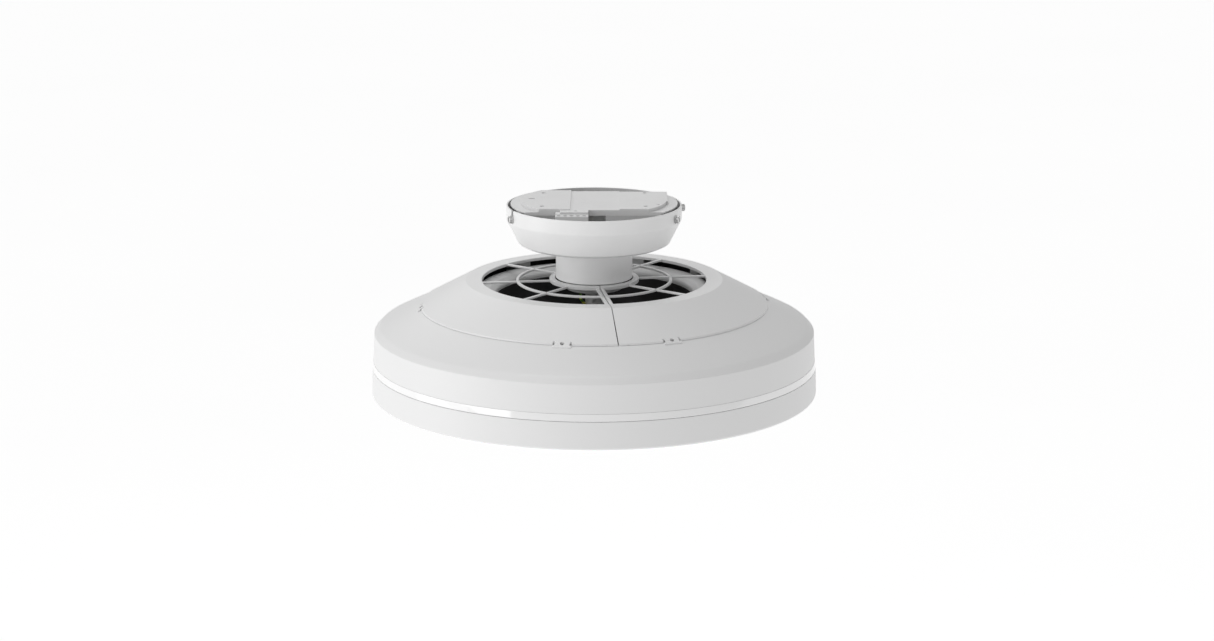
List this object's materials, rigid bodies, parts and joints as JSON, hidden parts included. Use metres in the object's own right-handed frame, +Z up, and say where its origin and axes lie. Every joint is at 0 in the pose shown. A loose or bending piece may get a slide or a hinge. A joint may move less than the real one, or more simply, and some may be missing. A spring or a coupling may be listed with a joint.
{
  "type": "enclosed ceiling fan with ring light",
  "caption": "Round white ceiling fan with hidden blades, a grilled two-part intake cover, a ring light under it and a bowl canopy on a bracket.",
  "frame": {"origin": "middle of the bracket's ceiling face, on the stem's axis", "axes": "+Z up along the stem into the ceiling, +X right, front towards -Y"},
  "size_m": [0.5006, 0.5006, 0.2326],
  "materials": {
    "white_plastic": "fine satin moulded white",
    "white_paint": "satin white powder coat",
    "bracket_steel": "white coated sheet steel",
    "stem_steel": "light grey coated steel tube",
    "screw_steel": "zinc plated",
    "grey_plastic": "light grey moulded plastic",
    "black_plastic": "matt black moulded plastic",
    "trim_acrylic": "glossy white acrylic",
    "opal_diffuser": "opal light-diffusing plastic",
    "motor_iron": "laminated electrical steel",
    "winding_copper": "enamelled copper wire",
    "rotor_steel": "black coated pressed steel",
    "magnet": "sintered ferrite",
    "bearing_steel": "ground bearing steel",
    "pan_steel": "white coated sheet steel",
    "led_board": "white coated aluminium circuit board",
    "led_chip": "phosphor coated light-emitting chip",
    "circuit_board": "green circuit laminate",
    "earth_insulation": "green and yellow insulation",
    "lead_insulation": "brown and blue insulation"
  },
  "bodies": {
    "body": {"mounting_bracket": "bracket_steel", "stem_socket": "bracket_steel", "socket_rivets": "screw_steel", "hanger_stem": "stem_steel", "stem_cross_pin": "screw_steel", "neck_locking_collar": "stem_steel", "terminal_block": "white_plastic", "terminal_screws": "screw_steel", "canopy_slot_screws": "screw_steel", "neck_sleeve": "white_paint", "neck_end_cap": "grey_plastic", "earth_wire": "earth_insulation", "supply_leads": "lead_insulation", "housing_shell": "white_plastic", "trim_strip": "trim_acrylic", "light_skirt": "white_plastic", "skirt_screws": "screw_steel", "shell_screws": "screw_steel", "main_frame": "grey_plastic", "frame_posts": "grey_plastic", "inner_shroud": "black_plastic", "air_baffle": "black_plastic", "bell_mouth": "grey_plastic", "air_duct": "black_plastic", "motor_shaft": "stem_steel", "stem_coupling": "stem_steel", "shaft_nut": "screw_steel", "stator_core": "motor_iron", "stator_windings": "winding_copper", "outlet_ring": "white_plastic", "outlet_guard": "white_plastic", "guard_hub": "stem_steel", "guard_screws": "screw_steel", "centre_cap": "white_plastic", "light_pan": "pan_steel", "led_board": "led_board", "led_chips": "led_chip", "diffuser_clips": "screw_steel", "driver_case": "grey_plastic", "driver_lid": "grey_plastic", "driver_board": "circuit_board", "driver_parts": "black_plastic", "controller_case": "grey_plastic", "receiver_board": "circuit_board"},
    "rotor": {"rotor_shell": "rotor_steel", "rotor_end_plate": "rotor_steel", "rotor_magnets": "magnet", "upper_bearing": "bearing_steel", "lower_bearing": "bearing_steel", "impeller": "black_plastic"},
    "canopy": {"ceiling_canopy": "white_paint", "canopy_lock_screws": "screw_steel"},
    "left_cover": {"cover_left": "white_plastic"},
    "right_cover": {"cover_right": "white_plastic"},
    "lens": {"diffuser": "opal_diffuser"}
  },
  "joints": [
    {"name": "rotor_spin", "type": "hinge", "parent": "body", "child": "rotor", "pos_m": [0, 0, -0.153], "axis": [0, 0, 1], "continuous": true},
    {"name": "canopy_down", "type": "slide", "parent": "body", "child": "canopy", "axis": [0, 0, -1], "range_m": [0, 0.026]},
    {"name": "left_cover_off", "type": "slide", "parent": "body", "child": "left_cover", "axis": [-0.9907, -0.1357, 0], "range_m": [0, 0.09]},
    {"name": "right_cover_off", "type": "slide", "parent": "body", "child": "right_cover", "axis": [0.9907, 0.1357, 0], "range_m": [0, 0.09]},
    {"name": "lens_down", "type": "slide", "parent": "body", "child": "lens", "axis": [0, 0, -1], "range_m": [0, 0.04]}
  ]
}
